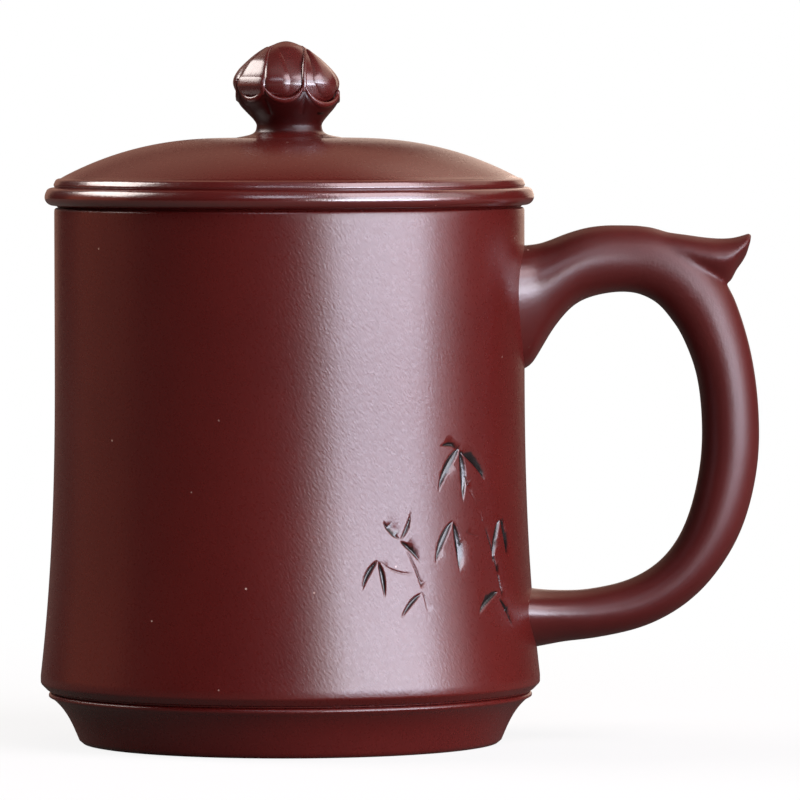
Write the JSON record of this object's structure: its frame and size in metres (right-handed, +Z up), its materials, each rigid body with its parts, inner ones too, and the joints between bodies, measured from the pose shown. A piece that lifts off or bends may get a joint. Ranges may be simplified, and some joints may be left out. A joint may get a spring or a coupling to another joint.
{
  "type": "lidded tea mug with infuser",
  "caption": "Straight-sided clay tea mug with a loop handle and thumb spur, a perforated clay infuser hung inside its rim, and a loose domed lid with a lotus-bud knob.",
  "frame": {"origin": "on the mug's axis, in the plane of the foot ring that it stands on", "axes": "+Z up along the mug's axis, +X towards the handle"},
  "size_m": [0.1295, 0.0898, 0.126],
  "materials": {
    "brown_clay": "unglazed, burnished to a soft satin",
    "knob_clay": "unglazed, rubbed to a brighter satin",
    "infuser_clay": "unglazed, matt",
    "base_clay": "unglazed, matt"
  },
  "bodies": {
    "mug": {"mug_wall": "brown_clay", "foot_ring": "brown_clay", "base_slab": "base_clay", "handle_loop": "brown_clay", "thumb_spur": "brown_clay"},
    "infuser": {"infuser_flange": "infuser_clay", "infuser_wall": "infuser_clay", "infuser_floor": "infuser_clay"},
    "lid": {"lid_dome": "brown_clay", "lid_collar": "brown_clay", "knob_stem": "knob_clay", "knob_core": "knob_clay", "knob_outer_petals": "knob_clay", "knob_inner_petals": "knob_clay"}
  },
  "joints": [
    {"name": "infuser_lift", "type": "slide", "parent": "mug", "child": "infuser", "axis": [0, 0, 1], "range_m": [0, 0.08]},
    {"name": "lid_lift", "type": "slide", "parent": "infuser", "child": "lid", "axis": [0, 0, 1], "range_m": [0, 0.06]}
  ]
}
